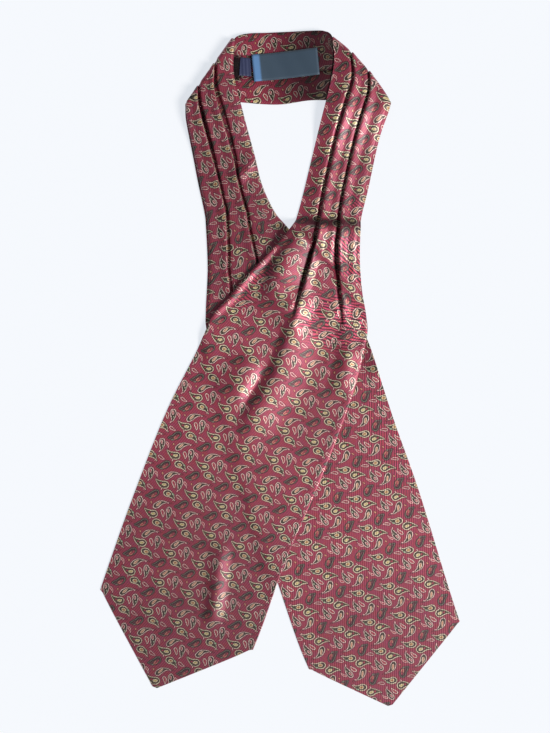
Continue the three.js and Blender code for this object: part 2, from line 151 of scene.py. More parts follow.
# One repeat of the print, in millimetres. Each motif is a drop with a curled tail: where its
# middle is in the repeat (shares across and down), which way its tail points (degrees, 0 is
# across, 90 is down), half its length and half its width (mm), how fast it narrows to the tail
# and how hard the tail curls. The bands are read from the edge inwards: (depth in mm where the
# band ends, colour).
printRepeat = 27.06
printShift = 0.75   # mm, makes up for the waver's own middle
ground = {"deep": "#8c2e3d", "warm": "#993438", "plum": "#8c3355"}
ink = {"key": "#470d1e", "line": "#d2c2a6", "bloom": "#d9bcb0", "dark": "#17170f",
       "moss": "#3b3d28", "olive": "#4e4c2c", "gold": "#b0975c", "straw": "#c3b878",
       "rose": "#9c3c47", "coral": "#bc8167", "leaf": "#98a98b", "blush": "#d9a6a2",
       "smoke": "#38382d", "mist": "#716b5d", "dusk": "#5c3436"}
motifs = [
    {"name": "plume", "at": (0.034, 0.002), "turn": -6, "half": (5.8, 4.0), "narrow": 0.55,
     "curl": 0.62, "bands": [(0.66, "line"), (1.30, "dark"), (9, "moss")]},
    {"name": "plumeRing", "at": (-0.006, 0.016), "turn": -6, "half": (2.1, 1.75), "narrow": 0.2,
     "curl": 0.0, "bands": [(0.5, "line"), (1.2, "gold"), (9, "rose")]},
    {"name": "plumeLeaf", "at": (0.135, -0.018), "turn": 28, "half": (1.35, 0.75), "narrow": 0.3,
     "curl": 0.0, "bands": [(9, "leaf")]},
    {"name": "plumeLoop", "at": (0.352, 0.012), "turn": 22, "half": (3.3, 1.8), "narrow": 0.5,
     "curl": -0.2, "bands": [(0.62, "blush"), (1.1, "dark"), (9, "rose")]},
    {"name": "plumeFoot", "at": (0.205, 0.138), "turn": 120, "half": (1.1, 0.5), "narrow": 0.3,
     "curl": 0.0, "bands": [(9, "blush")]},

    {"name": "comma", "at": (-0.305, -0.187), "turn": 162, "half": (6.0, 4.3), "narrow": 0.50,
     "curl": 0.60, "bands": [(0.66, "line"), (1.30, "dark"), (9, "olive")]},
    {"name": "commaHeart", "at": (-0.245, -0.212), "turn": 160, "half": (2.2, 1.45), "narrow": 0.3,
     "curl": 0.1, "bands": [(0.5, "line"), (1.1, "straw"), (9, "gold")]},
    {"name": "commaSpot", "at": (-0.368, -0.208), "turn": 150, "half": (1.0, 0.8), "narrow": 0.3,
     "curl": 0.0, "bands": [(9, "rose")]},
    {"name": "commaTick", "at": (-0.278, -0.048), "turn": 75, "half": (1.2, 0.5), "narrow": 0.3,
     "curl": 0.0, "bands": [(9, "blush")]},

    {"name": "bud", "at": (0.228, -0.398), "turn": 70, "half": (5.7, 3.6), "narrow": 0.66,
     "curl": 0.14, "bands": [(0.60, "bloom"), (1.25, "dark"), (9, "moss")]},
    {"name": "budHeart", "at": (0.185, -0.472), "turn": 64, "half": (1.9, 1.25), "narrow": 0.3,
     "curl": 0.0, "bands": [(0.5, "bloom"), (9, "rose")]},
    {"name": "budLeaf", "at": (0.264, -0.358), "turn": 64, "half": (0.95, 0.6), "narrow": 0.3,
     "curl": 0.0, "bands": [(9, "leaf")]},
    {"name": "budCurl", "at": (0.046, -0.345), "turn": 46, "half": (3.4, 2.0), "narrow": 0.45,
     "curl": 0.3, "bands": [(0.60, "bloom"), (9, "rose")]},
    {"name": "budTick", "at": (0.402, -0.468), "turn": 30, "half": (3.0, 1.5), "narrow": 0.6,
     "curl": 0.5, "bands": [(0.6, "blush"), (9, "rose")]},
    {"name": "budFoot", "at": (0.228, -0.172), "turn": 110, "half": (1.2, 0.55), "narrow": 0.3,
     "curl": 0.0, "bands": [(9, "blush")]},

    {"name": "shade", "at": (-0.466, 0.218), "turn": 126, "half": (6.2, 3.8), "narrow": 0.42,
     "curl": 0.34, "bands": [(0.45, "smoke"), (0.95, "mist"), (1.9, "dark"), (9, "dusk")]},
    {"name": "shadeRose", "at": (-0.436, 0.236), "turn": 126, "half": (2.3, 1.4), "narrow": 0.2,
     "curl": 0.0, "bands": [(0.5, "coral"), (9, "rose")]},
    {"name": "shadeRing", "at": (-0.390, 0.160), "turn": 126, "half": (1.2, 0.9), "narrow": 0.2,
     "curl": 0.0, "bands": [(9, "rose")]},
    {"name": "shadeTip", "at": (0.488, 0.340), "turn": 160, "half": (1.3, 0.7), "narrow": 0.2,
     "curl": 0.0, "bands": [(9, "mist")]},
    {"name": "shadeSpeck", "at": (-0.425, 0.464), "turn": 60, "half": (1.1, 0.8), "narrow": 0.3,
     "curl": 0.0, "bands": [(9, "coral")]},

    {"name": "stem", "at": (-0.160, 0.392), "turn": -56, "half": (7.1, 3.6), "narrow": 0.75,
     "curl": 0.50, "bands": [(0.60, "bloom"), (1.20, "dark"), (9, "moss")]},
    {"name": "stemHeart", "at": (-0.188, 0.430), "turn": -62, "half": (2.9, 1.3), "narrow": 0.4,
     "curl": 0.0, "bands": [(0.5, "line"), (9, "coral")]},
    {"name": "stemSpeck", "at": (0.085, 0.300), "turn": 20, "half": (1.0, 0.55), "narrow": 0.3,
     "curl": 0.0, "bands": [(9, "blush")]},
    {"name": "stemDot", "at": (0.169, 0.272), "turn": 20, "half": (0.75, 0.5), "narrow": 0.3,
     "curl": 0.0, "bands": [(9, "rose")]},
]


def node(tree, kind, x=0, y=0, **settings):
    made = tree.nodes.new(kind)
    made.location = (x, y)
    for key, value in settings.items():
        setattr(made, key, value)
    return made


def math2(tree, what, one, two=None, three=None, clamp=False):
    # one Math node: each input is a socket to join or a plain number
    made = node(tree, "ShaderNodeMath", operation=what, use_clamp=clamp)
    for place, value in enumerate((one, two, three)):
        if value is None:
            continue
        if isinstance(value, (int, float)):
            made.inputs[place].default_value = value
        else:
            tree.links.new(value, made.inputs[place])
    return made.outputs[0]


def noise(tree, where, scale, detail, roughness, x=0, y=0):
    made = node(tree, "ShaderNodeTexNoise", x, y)
    tree.links.new(where, made.inputs["Vector"])
    made.inputs["Scale"].default_value = scale
    made.inputs["Detail"].default_value = detail
    made.inputs["Roughness"].default_value = roughness
    return made


def makeDropGroup():
    # how deep a place is inside one curled drop, in mm from its edge, below 0 outside it
    tree = bpy.data.node_groups.new("curledDrop", "ShaderNodeTree")
    face = tree.interface
    face.new_socket("Cloth", in_out="INPUT", socket_type="NodeSocketVector")
    face.new_socket("Middle", in_out="INPUT", socket_type="NodeSocketVector")
    for name in ("Turn", "Half length", "Half width", "Narrow", "Curl"):
        face.new_socket(name, in_out="INPUT", socket_type="NodeSocketFloat")
    face.new_socket("Depth", in_out="OUTPUT", socket_type="NodeSocketFloat")
    source = node(tree, "NodeGroupInput", -900)
    drain = node(tree, "NodeGroupOutput", 900)
    away = node(tree, "ShaderNodeVectorMath", -700, operation="SUBTRACT")
    tree.links.new(source.outputs["Cloth"], away.inputs[0])
    tree.links.new(source.outputs["Middle"], away.inputs[1])
    wrap = node(tree, "ShaderNodeVectorMath", -520, operation="WRAP")
    tree.links.new(away.outputs[0], wrap.inputs[0])
    wrap.inputs[1].default_value = (printRepeat / 2, printRepeat / 2, 1)
    wrap.inputs[2].default_value = (-printRepeat / 2, -printRepeat / 2, -1)
    spin = node(tree, "ShaderNodeVectorRotate", -340, rotation_type="Z_AXIS")
    tree.links.new(wrap.outputs[0], spin.inputs["Vector"])
    tree.links.new(source.outputs["Turn"], spin.inputs["Angle"])
    parts = node(tree, "ShaderNodeSeparateXYZ", -160)
    tree.links.new(spin.outputs[0], parts.inputs[0])
    length, curl = source.outputs["Half length"], source.outputs["Curl"]
    run = math2(tree, "DIVIDE", parts.outputs["X"], length)
    past = math2(tree, "MAXIMUM", math2(tree, "ADD", run, 0.15), 0.0)
    bend = math2(tree, "MULTIPLY", math2(tree, "MULTIPLY", past, past),
                 math2(tree, "MULTIPLY", curl, length))
    slope = math2(tree, "MULTIPLY", math2(tree, "MULTIPLY", past, curl), 2.0)
    side = math2(tree, "SUBTRACT", parts.outputs["Y"], bend)
    taper = math2(tree, "MULTIPLY", math2(tree, "MULTIPLY_ADD", run, 0.5, 0.5, clamp=True),
                  source.outputs["Narrow"])
    wide = math2(tree, "MULTIPLY", math2(tree, "SUBTRACT", 1.0, taper), source.outputs["Half width"])
    across = math2(tree, "DIVIDE", side, wide)
    pair = node(tree, "ShaderNodeCombineXYZ", 300)
    tree.links.new(run, pair.inputs["X"])
    tree.links.new(across, pair.inputs["Y"])
    level = node(tree, "ShaderNodeVectorMath", 400, operation="LENGTH")
    tree.links.new(pair.outputs[0], level.inputs[0])
    # how fast the level grows here, which turns it to millimetres
    growY = math2(tree, "DIVIDE", across, wide)
    growX = math2(tree, "SUBTRACT", math2(tree, "DIVIDE", run, length),
                  math2(tree, "MULTIPLY", growY, slope))
    grow = node(tree, "ShaderNodeCombineXYZ", 600)
    tree.links.new(growX, grow.inputs["X"])
    tree.links.new(growY, grow.inputs["Y"])
    grow.inputs["Z"].default_value = 0.0001
    speed = node(tree, "ShaderNodeVectorMath", 700, operation="LENGTH")
    tree.links.new(grow.outputs[0], speed.inputs[0])
    levelHere = level.outputs["Value"]
    inside = math2(tree, "MULTIPLY", math2(tree, "SUBTRACT", 1.0, levelHere), levelHere)
    tree.links.new(math2(tree, "DIVIDE", inside, speed.outputs["Value"]), drain.inputs["Depth"])
    return tree


def motifRamp(tree, depth, bands):
    # depth in mm to colour, its alpha 0 where what is under it shows; a dark key line runs
    # just outside each drop
    deepest, soft, key, keyShare = 4.0, 0.05, 0.55, 0.85
    ramp = node(tree, "ShaderNodeValToRGB")
    share = math2(tree, "MULTIPLY_ADD", depth, 1 / deepest, (soft + key) / deepest)
    tree.links.new(share, ramp.inputs["Fac"])
    stops = [(0.0, rgb(ink["key"], 0.0)), (0.6 * key, rgb(ink["key"], keyShare)),
             (key, rgb(ink["key"], keyShare)), (key + 2 * soft, rgb(ink[bands[0][1]]))]
    for (edge, name), (nextEdge, nextName) in zip(bands, bands[1:]):
        stops += [(edge + key, rgb(ink[name])), (edge + key + 2 * soft, rgb(ink[nextName]))]
    bar = ramp.color_ramp
    while len(bar.elements) < len(stops):
        bar.elements.new(0.5)
    for element, (place, colour) in zip(bar.elements, stops):
        element.position = place / deepest
        element.color = colour
    return ramp


def layOver(tree, under, colour, share):
    over = node(tree, "ShaderNodeMix", data_type="RGBA", blend_type="MIX")
    for value, socket in ((share, 0), (under, 6), (colour, 7)):
        if isinstance(value, (int, float, tuple)):
            over.inputs[socket].default_value = value
        else:
            tree.links.new(value, over.inputs[socket])
    return over.outputs[2]


def scaled(tree, colour, share):
    # a colour made darker or lighter by a plain share
    lit = node(tree, "ShaderNodeMix", data_type="RGBA", blend_type="MULTIPLY")
    lit.inputs[0].default_value = 1.0
    tree.links.new(colour, lit.inputs[6])
    grey = node(tree, "ShaderNodeCombineColor")
    for name in ("Red", "Green", "Blue"):
        tree.links.new(share, grey.inputs[name])
    tree.links.new(grey.outputs[0], lit.inputs[7])
    return lit.outputs[2]


silk = {"roughness": 0.54, "metal": 0.43, "tint": (1.0, 0.78, 0.92, 1), "gloss": 0.20,
        "glossRoughness": 0.4, "sheen": 0.06, "sheenRoughness": 0.35, "sheenTint": (1.0, 0.62, 0.78, 1),
        "twill": 1.74, "twillLift": 0.00016, "twillAngle": -19.5, "twillShow": 0.30, "bump": 0.35,
        "waver": 1.5}

# where the twill's ribs catch the light, painted into the colour as light and dark rib lines: middle,
# turn and half sizes of the place (mm), rib pitch (mm), how much the ribs sway and how strongly they
# show
crossingRibs = [
    {"at": (48, 41), "turn": -12, "reach": (46, 32), "pitch": 2.6, "sway": 5.0, "show": 2.0},
    {"at": (67, 92), "turn": -42, "reach": (46, 22), "pitch": 2.5, "sway": 3.0, "show": 1.9},
    {"at": (66, 142), "turn": -40, "reach": (18, 14), "pitch": 2.4, "sway": 1.0, "show": 1.1},
    {"at": (-22, 72), "turn": -38, "reach": (10, 44), "pitch": 2.8, "sway": 2.0, "show": 1.2},
]
bladeRibs = [
    {"at": (108, -30), "turn": -90, "reach": (130, 50), "pitch": 2.15, "sway": 0.4, "show": 1.0},
    {"at": (-24, 176), "turn": 40, "reach": (24, 14), "pitch": 2.4, "sway": 2.0, "show": 0.7},
]


# painted shade: oval places where the silk's colour is darkened to stand for shade and shadow, away
# from the light or down inside a fold: middle, turn and half sizes (mm), and the share of the colour's
# brightness that the painted shade leaves
# painted shade on the neckband: darker over its right part, a little overall, and nearly black down the
# hollow beside the navy label
bandPaintedShade = [
    {"at": (62, 262), "reach": (88, 90), "left": 0.22},
    {"at": (-12, 262), "reach": (90, 60), "left": 0.84},
    {"at": (-38.5, 262.5), "reach": (10, 16), "left": 0.02},
]
# painted shade on the right end and the over blade: darker towards the lower left, along the pressed
# crease and in the troughs below it
crossingPaintedShade = [
    {"at": (-100, -250), "reach": (180, 220), "left": 0.72},
    {"at": (70, -80), "turn": 66, "reach": (110, 30), "left": 0.9},
    {"at": (38, -44), "turn": 66, "reach": (46, 24), "left": 0.88},
    {"at": (-82, -240), "reach": (120, 70), "left": 0.88},
    {"at": (24, 106), "turn": 66, "reach": (26, 15), "left": 0.74},
    {"at": (43, 127), "turn": -2, "reach": (46, 5), "left": 0.45},
    {"at": (22, 82), "turn": 76, "reach": (36, 8), "left": 0.62},
    {"at": (64, 150), "turn": 80, "reach": (120, 30), "left": 0.86},
    {"at": (-10, 90), "reach": (12, 13), "left": 0.74},
]
# painted shade on the left end and the under blade: darker over the neck strips and towards the lower
# tip
bladePaintedShade = [
    {"at": (-50, 150), "reach": (80, 140), "left": 0.78},
    {"at": (90, -290), "reach": (150, 150), "left": 0.78},
]


def nearPlace(tree, spot, place, show):
    # 0 outside an oval place on the piece, rising softly to its full show inside it
    aim = node(tree, "ShaderNodeMapping", -1400, -700, vector_type="TEXTURE")
    aim.inputs["Location"].default_value = (place["at"][0] * mm, place["at"][1] * mm, 0)
    aim.inputs["Rotation"].default_value = (0, 0, math.radians(place.get("turn", 0)))
    aim.inputs["Scale"].default_value = (place["reach"][0] * mm, place["reach"][1] * mm, 0.05)
    tree.links.new(spot, aim.inputs["Vector"])
    away = node(tree, "ShaderNodeVectorMath", -1200, -700, operation="LENGTH")
    tree.links.new(aim.outputs[0], away.inputs[0])
    near = node(tree, "ShaderNodeMapRange", -1000, -700, interpolation_type="SMOOTHSTEP")
    near.inputs["From Min"].default_value = 1.0
    near.inputs["From Max"].default_value = 0.45
    near.inputs["To Max"].default_value = show
    tree.links.new(away.outputs["Value"], near.inputs["Value"])
    return aim.outputs[0], near.outputs[0]


def drawnCloth(tree, cloth):
    # the map holds cloth millimetres, and the drawn line wavers a little
    waver = noise(tree, cloth, 0.5, 4.0, 0.7, -1500, -200)
    drawn = node(tree, "ShaderNodeVectorMath", -1300, -200, operation="MULTIPLY_ADD")
    tree.links.new(waver.outputs["Color"], drawn.inputs[0])
    drawn.inputs[1].default_value = (silk["waver"], silk["waver"], 0)
    tree.links.new(cloth, drawn.inputs[2])
    return drawn.outputs[0]


def dyedGround(tree, cloth):
    # warm and plum blotches over the deep ground
    dye = noise(tree, cloth, 0.22, 5.0, 0.75, -1200, 300)
    dyed = math2(tree, "MULTIPLY_ADD", dye.outputs["Fac"], 3.0, -1.0, clamp=True)
    blotch = layOver(tree, rgb(ground["warm"]), rgb(ground["plum"]), dyed)
    return layOver(tree, blotch, rgb(ground["deep"]), 0.25)


def paintedRibSheen(tree, spot, ribPlaces):
    # the twill's ribs where the silk is pulled tight, with the light they catch painted in as lines
    # that lighten or darken the silk
    ribs = None
    for place in ribPlaces:
        aimed, near = nearPlace(tree, spot, place, place["show"])
        rake = node(tree, "ShaderNodeTexWave", -800, -700, wave_type="BANDS", bands_direction="Y")
        rake.inputs["Scale"].default_value = 2 * math.pi / 20 * place["reach"][1] / place["pitch"]
        rake.inputs["Distortion"].default_value = place["sway"]
        rake.inputs["Detail"].default_value = 0.5
        rake.inputs["Detail Scale"].default_value = 1.6
        tree.links.new(aimed, rake.inputs["Vector"])
        tone = math2(tree, "MULTIPLY", math2(tree, "SUBTRACT", rake.outputs["Fac"], 0.52), near)
        ribs = tone if ribs is None else math2(tree, "ADD", ribs, tone)
    return ribs


def printMotifs(tree, base, drawn, dropGroup):
    for spec in motifs:
        drop = node(tree, "ShaderNodeGroup", -800)
        drop.node_tree = dropGroup
        drop.label = spec["name"]
        tree.links.new(drawn, drop.inputs["Cloth"])
        middle = [share * printRepeat + printShift for share in spec["at"]]
        drop.inputs["Middle"].default_value = (middle[0], middle[1], 0)
        drop.inputs["Turn"].default_value = -math.radians(spec["turn"])
        drop.inputs["Half length"].default_value = spec["half"][0]
        drop.inputs["Half width"].default_value = spec["half"][1]
        drop.inputs["Narrow"].default_value = spec["narrow"]
        drop.inputs["Curl"].default_value = spec["curl"]
        ramp = motifRamp(tree, drop.outputs["Depth"], spec["bands"])
        base = layOver(tree, base, ramp.outputs["Color"], ramp.outputs["Alpha"])
    return base


def twillLine(tree, cloth):
    # fine raised lines on the bias
    turn = node(tree, "ShaderNodeMapping", -1200, -400)
    turn.inputs["Rotation"].default_value = (0, 0, math.radians(silk["twillAngle"]))
    tree.links.new(cloth, turn.inputs["Vector"])
    line = node(tree, "ShaderNodeTexWave", -1000, -400, wave_type="BANDS", bands_direction="X")
    line.inputs["Scale"].default_value = 2 * math.pi / 20 / silk["twill"]
    line.inputs["Distortion"].default_value = 1.2
    line.inputs["Detail"].default_value = 1.0
    line.inputs["Detail Scale"].default_value = 0.12
    tree.links.new(turn.outputs[0], line.inputs["Vector"])
    return line.outputs["Fac"]


def paintedShadeLeft(tree, spot, paintedShades):
    # what the painted shade in the listed places leaves of the colour's brightness
    left = None
    for place in paintedShades:
        near = nearPlace(tree, spot, place, 1 - place["left"])[1]
        part = math2(tree, "SUBTRACT", 1.0, near)
        left = part if left is None else math2(tree, "MULTIPLY", left, part)
    return left


def makeSilk(name, dropGroup, ribPlaces, paintedShades, shine):
    paint = bpy.data.materials.new(name)
    paint.use_nodes = True
    tree = paint.node_tree
    cloth = node(tree, "ShaderNodeUVMap", -1600, 0, uv_map="cloth").outputs["UV"]
    spot = node(tree, "ShaderNodeTexCoord", -1600, -700).outputs["Object"]
    base = dyedGround(tree, cloth)
    # painted sheen: the ribs' catch of light lightens or darkens the base colour and the tone
    ribs = paintedRibSheen(tree, spot, ribPlaces)
    if ribs is not None:
        base = scaled(tree, base, math2(tree, "MAXIMUM", math2(tree, "ADD", ribs, 1.0), 0.1))
    base = printMotifs(tree, base, drawnCloth(tree, cloth), dropGroup)
    twill = twillLine(tree, cloth)
    tone = math2(tree, "MULTIPLY_ADD", twill, silk["twillShow"], 1 - silk["twillShow"] / 2)
    if ribs is not None:
        tone = math2(tree, "MULTIPLY_ADD", ribs, 0.25, tone)
    # uneven dye and thread
    slub = noise(tree, cloth, 0.9, 4.0, 0.65, -900, 500)
    tone = math2(tree, "MULTIPLY", tone,
                 math2(tree, "MULTIPLY_ADD", slub.outputs["Fac"], 1.3, 0.35))
    # painted shade: the colour is darkened in the listed oval places
    tone = math2(tree, "MULTIPLY", tone, paintedShadeLeft(tree, spot, paintedShades))
    rib = node(tree, "ShaderNodeBump", -200, -400)
    rib.inputs["Strength"].default_value = silk["bump"]
    rib.inputs["Distance"].default_value = silk["twillLift"]
    tree.links.new(twill, rib.inputs["Height"])
    shader = tree.nodes["Principled BSDF"]
    tree.links.new(scaled(tree, base, tone), shader.inputs["Base Color"])
    tree.links.new(rib.outputs[0], shader.inputs["Normal"])
    shader.inputs["Roughness"].default_value = silk["roughness"]
    shader.inputs["Metallic"].default_value = silk["metal"]
    shader.inputs["Specular IOR Level"].default_value = shine
    shader.inputs["Specular Tint"].default_value = silk["tint"]
    shader.inputs["Coat Weight"].default_value = silk["gloss"] * shine
    shader.inputs["Coat Roughness"].default_value = silk["glossRoughness"]
    shader.inputs["Sheen Weight"].default_value = silk["sheen"]
    shader.inputs["Sheen Roughness"].default_value = silk["sheenRoughness"]
    shader.inputs["Sheen Tint"].default_value = silk["sheenTint"]
    return paint


curledDrop = makeDropGroup()
# each piece's silk takes its own places of painted shade
crossingSilk = makeSilk("printedSilkOver", curledDrop, crossingRibs, crossingPaintedShade, 1.0)
bladeSilk = makeSilk("printedSilkUnder", curledDrop, bladeRibs, bladePaintedShade, 1.0)
bandSilk = makeSilk("printedSilkBand", curledDrop, [], bandPaintedShade, 0.45)
print("printed silk is mixed:", len(motifs), "drops in a repeat of", printRepeat, "mm")


clothWall = 0.9   # mm, the doubled and interlined silk
layerStep = 1.25  # mm from one pleat layer to the next
pleat = {"run": 7.5, "hidden": 0.66, "opensBy": 3.0, "spread": 4.0, "gapFrom": 165, "gapRun": 50,
         "flatSteps": 18, "steepSteps": 6, "tailSteps": 2, "turnSteps": 12}
cornerAt = 222    # mm up the plan, above which the print turns no further

# Each end of the cravat. step is the space between sections. On each strip of it, puff and arch
# are how far the silk swells, gentle is how far it falls along the strip, steep is how far out it
# starts to dive under the next pleat, and gap and gapTop are how much of the pleat stays open.
# One row per section from the corner fold down to the point: outer edge x, y, inner edge x, y,
# outer pleat and inner pleat (shares from the outer edge), the pleats' hidden depth, the height
# of their folds, how far the section arcs up, and how much of the band's height the silk has.
# The print runs by cross and along below turnsAt, and anchor is one known place of it.
rightEnd = {
    "name": "rightEnd", "step": 3.0, "puff": 2.0, "steep": 3.6, "gap": 1.5, "gapTop": 1.5,
    "arch": 2.2, "gentle": 0.4, "point": (-109.8, -279.1), "sign": 1, "turnsAt": 90,
    "cross": (0.9342, -0.3568), "along": (-0.3603, -0.9329), "anchor": (-96.8, -108.4),
    "rows": [
        (94.2, 231.2, 45.3, 286.8, 0.42, 0.71, 16.0, 0.8, 3.2, 0.05),
        (95.9, 231.6, 46.0, 288.6, 0.42, 0.71, 16.0, 1.0, 3.2, 0.45),
        (95.9, 230.2, 45.7, 287.2, 0.42, 0.71, 16.0, 1.0, 3.2, 0.85),
        (95.5, 228.2, 45.4, 285.0, 0.40, 0.70, 17.0, 1.0, 3.2, 1.0),
        (93.6, 221.5, 46.0, 259.5, 0.37, 0.65, 18.4, 1.0, 2.0, 1.0),
        (86.1, 199.1, 32.6, 204.3, 0.367, 0.67, 18.4, 1.0, 0, 1.0),
        (77.0, 157.3, 21.3, 157.3, 0.367, 0.664, 18.4, 1.0, 0, 1.0),
        (71.6, 135.4, 15.5, 135.4, 0.33, 0.629, 18.4, 1.2, 0, 1.0),
        (70.1, 125.1, 11.2, 124.4, 0.30, 0.611, 18.0, 1.5, 0, 1.0),
        (69.4, 106.9, 0.9, 111.8, 0.277, 0.556, 15.8, 1.7, 0, 1.0),
        (69.9, 87.7, -15.7, 94.7, 0.214, 0.510, 12.0, 1.6, 0, 1.0),
        (71.8, 66.0, -31.3, 78.2, 0.183, 0.498, 8.0, 1.3, 0, 1.0),
        (74.8, 46.0, -45.2, 60.8, 0.17, 0.50, 3.0, 0.6, 0, 1.0),
        (74.8, 25.1, -58.3, 46.0, 0.17, 0.51, 0.0, 0.3, 0, 1.0),
        (63.9, -20.1, -73.1, 14.7, 0.25, 0.55, 0.0, 0.0, 0, 1.0),
        (37.4, -91.5, -100.0, -39.3, 0.333, 0.667, 0.0, 0.0, 0, 1.0),
        (6.5, -162.8, -129.2, -114.1, 0.333, 0.667, 0.0, 0.0, 0, 1.0),
        (-13.9, -220.2, -149.6, -171.5, 0.333, 0.667, 0.0, 0.0, 0, 1.0),
        (-23.5, -244.6, -156.6, -192.4, 0.333, 0.667, 0.0, 0.0, 0, 1.0),
    ],
}
leftEnd = {
    "name": "leftEnd", "step": 3.0, "puff": 1.0, "steep": 2.0, "gap": 1.6, "gapTop": 3.6,
    "arch": -3.4, "gentle": 0.1, "point": (96.3, -294.6), "sign": -1, "turnsAt": 90,
    "cross": (0.9400, 0.2190), "along": (0.3390, -0.8960), "anchor": (95.1, -189.7),
    "rows": [
        (-80.6, 229.6, -39.6, 285.8, 0.26, 0.60, 14.0, 1.0, 0, 0.05),
        (-81.9, 230.4, -41.0, 287.4, 0.26, 0.60, 14.0, 1.2, 0, 0.45),
        (-82.0, 229.3, -40.3, 286.0, 0.25, 0.60, 14.0, 1.3, 0, 0.85),
        (-82.0, 227.2, -39.3, 284.3, 0.24, 0.58, 15.0, 1.35, 0, 1.0),
        (-81.8, 217.4, -40.5, 257.4, 0.27, 0.60, 17.0, 1.35, 0, 1.0),
        (-79.4, 203.4, -33.1, 225.2, 0.285, 0.625, 18.4, 1.35, 0, 1.0),
        (-75.3, 182.6, -22.2, 185.2, 0.308, 0.647, 18.4, 1.3, 0, 1.0),
        (-71.3, 161.7, -16.1, 160.8, 0.331, 0.63, 18.4, 1.25, 0, 1.0),
        (-65.9, 136.5, -4.8, 136.5, 0.30, 0.592, 18.4, 1.2, 0, 1.0),
        (-64.6, 124.3, 8.7, 120.4, 0.242, 0.505, 17.0, 1.1, 0, 1.0),
        (-63.1, 87.7, 36.5, 84.3, 0.17, 0.432, 11.0, 1.0, 0, 1.0),
        (-64.7, 50.3, 64.4, 46.0, 0.18, 0.47, 3.0, 0.5, 0, 1.0),
        (-63.9, 33.8, 75.1, 27.7, 0.22, 0.52, 0.0, 0.3, 0, 1.0),
        (-55.0, 0.7, 81.8, 9.4, 0.26, 0.57, 0.0, 0.0, 0, 1.0),
        (-32.8, -80.2, 99.6, -45.4, 0.32, 0.65, 0.0, 0.0, 0, 1.0),
        (-13.9, -148.9, 120.8, -105.4, 0.333, 0.667, 0.0, 0.0, 0, 1.0),
        (12.6, -229.8, 145.7, -186.3, 0.333, 0.667, 0.0, 0.0, 0, 1.0),
        (25.2, -261.6, 156.6, -219.9, 0.333, 0.667, 0.0, 0.0, 0, 1.0),
    ],
}

# Soft forms pressed into the silk: the crest's path in plan, its half widths on the left and right of
# the path, its height, and how far it takes to rise at the start and sink at the end.
rightFolds = [
    {"path": [(14.8, 46), (8.1, 26.6), (2.2, 7.7), (-3.5, -6.7), (-16.1, -26.7), (-27, -45),
              (-31, -70)], "left": 11, "right": 30, "high": 4.3, "lead": 22, "tail": 50},
    {"path": [(-22, 14), (-28.7, -6.2), (-35.7, -17.5), (-43, -31)], "left": 24, "right": 12,
     "high": 3.8},
    {"path": [(60, 24), (56.7, -2.7), (50.5, -24)], "left": 13, "right": 17, "high": 3.6},
    {"path": [(22, 70), (15, 48), (8, 30)], "left": 32, "right": 14, "high": 5.0, "lead": 20,
     "tail": 12},
    {"path": [(19, 122), (12.5, 110), (4, 96), (-3, 82), (-7, 68), (-8, 54)], "left": 11, "right": 26,
     "high": 6.2, "lead": 8, "tail": 22},
    {"path": [(-52, -150), (-56, -190), (-60, -224)], "left": 10, "right": 13, "high": 2.6},
]
leftFolds = [
    {"path": [(80, 30), (85, 10), (90, -10)], "left": 14, "right": 7, "high": 2.8},
    {"path": [(-20, 190), (-30, 172), (-44, 160)], "left": 10, "right": 8, "high": 2.0},
]

# the pressed crease above the crossing, the rolled inner edge, the raised rim of the blade, the
# neckband's height under the corner folds, and how the silk comes down off the end under it
crease = {"x": 15, "y": 124.0, "slope": -0.05, "high": 6.0, "above": 8.0, "below": 34}
roll = {"high": 2.0, "crest": 1.8, "width": 6.5, "top": 132, "topRun": 18, "foot": 35, "footRun": 25}
rim = {"high": 0.7, "crest": 1.4, "width": 4.0, "top": 70, "topRun": 25, "foot": -150, "footRun": 60}
band = {"height": 3.0, "lower": 230, "run": 45, "liftLeft": 2.2, "liftRight": 4.2}
cover = {"margin": 2.5, "run": 9.0, "gap": 0.25, "foot": -5, "footRun": 55}
pointShares = (0.04, 0.1, 0.17, 0.25, 0.34, 0.43, 0.52, 0.61, 0.70, 0.79, 0.87, 0.93, 0.97)


def denseRows(end):
    # rows closer together, the two edges carried smoothly, then closed in on the point
    rows = end["rows"]
    filled = []
    for i in range(len(rows) - 1):
        near = rowsAround(rows, i)
        reach = max(math.dist(near[1][0:2], near[2][0:2]), math.dist(near[1][2:4], near[2][2:4]))
        steps = max(1, round(reach / end["step"]))
        for k in range(steps):
            t = k / steps
            plan = [between(*(row[c] for row in near), t) if i > 2 else mix(near[1][c], near[2][c], t)
                    for c in range(4)]
            filled.append(plan + [mix(near[1][c], near[2][c], t) for c in range(4, 10)])
    last = list(rows[-1])
    filled.append(last)
    px, py = end["point"]
    for share in pointShares:
        # the corners above the point are a little rounded
        slack = 1.2 * math.exp(-share * 9)
        plan = [mix(last[0], px, share) - slack * 0.4, mix(last[1], py, share) + slack,
                mix(last[2], px, share) + slack * 0.4, mix(last[3], py, share) + slack]
        filled.append(plan + last[4:])
    return filled


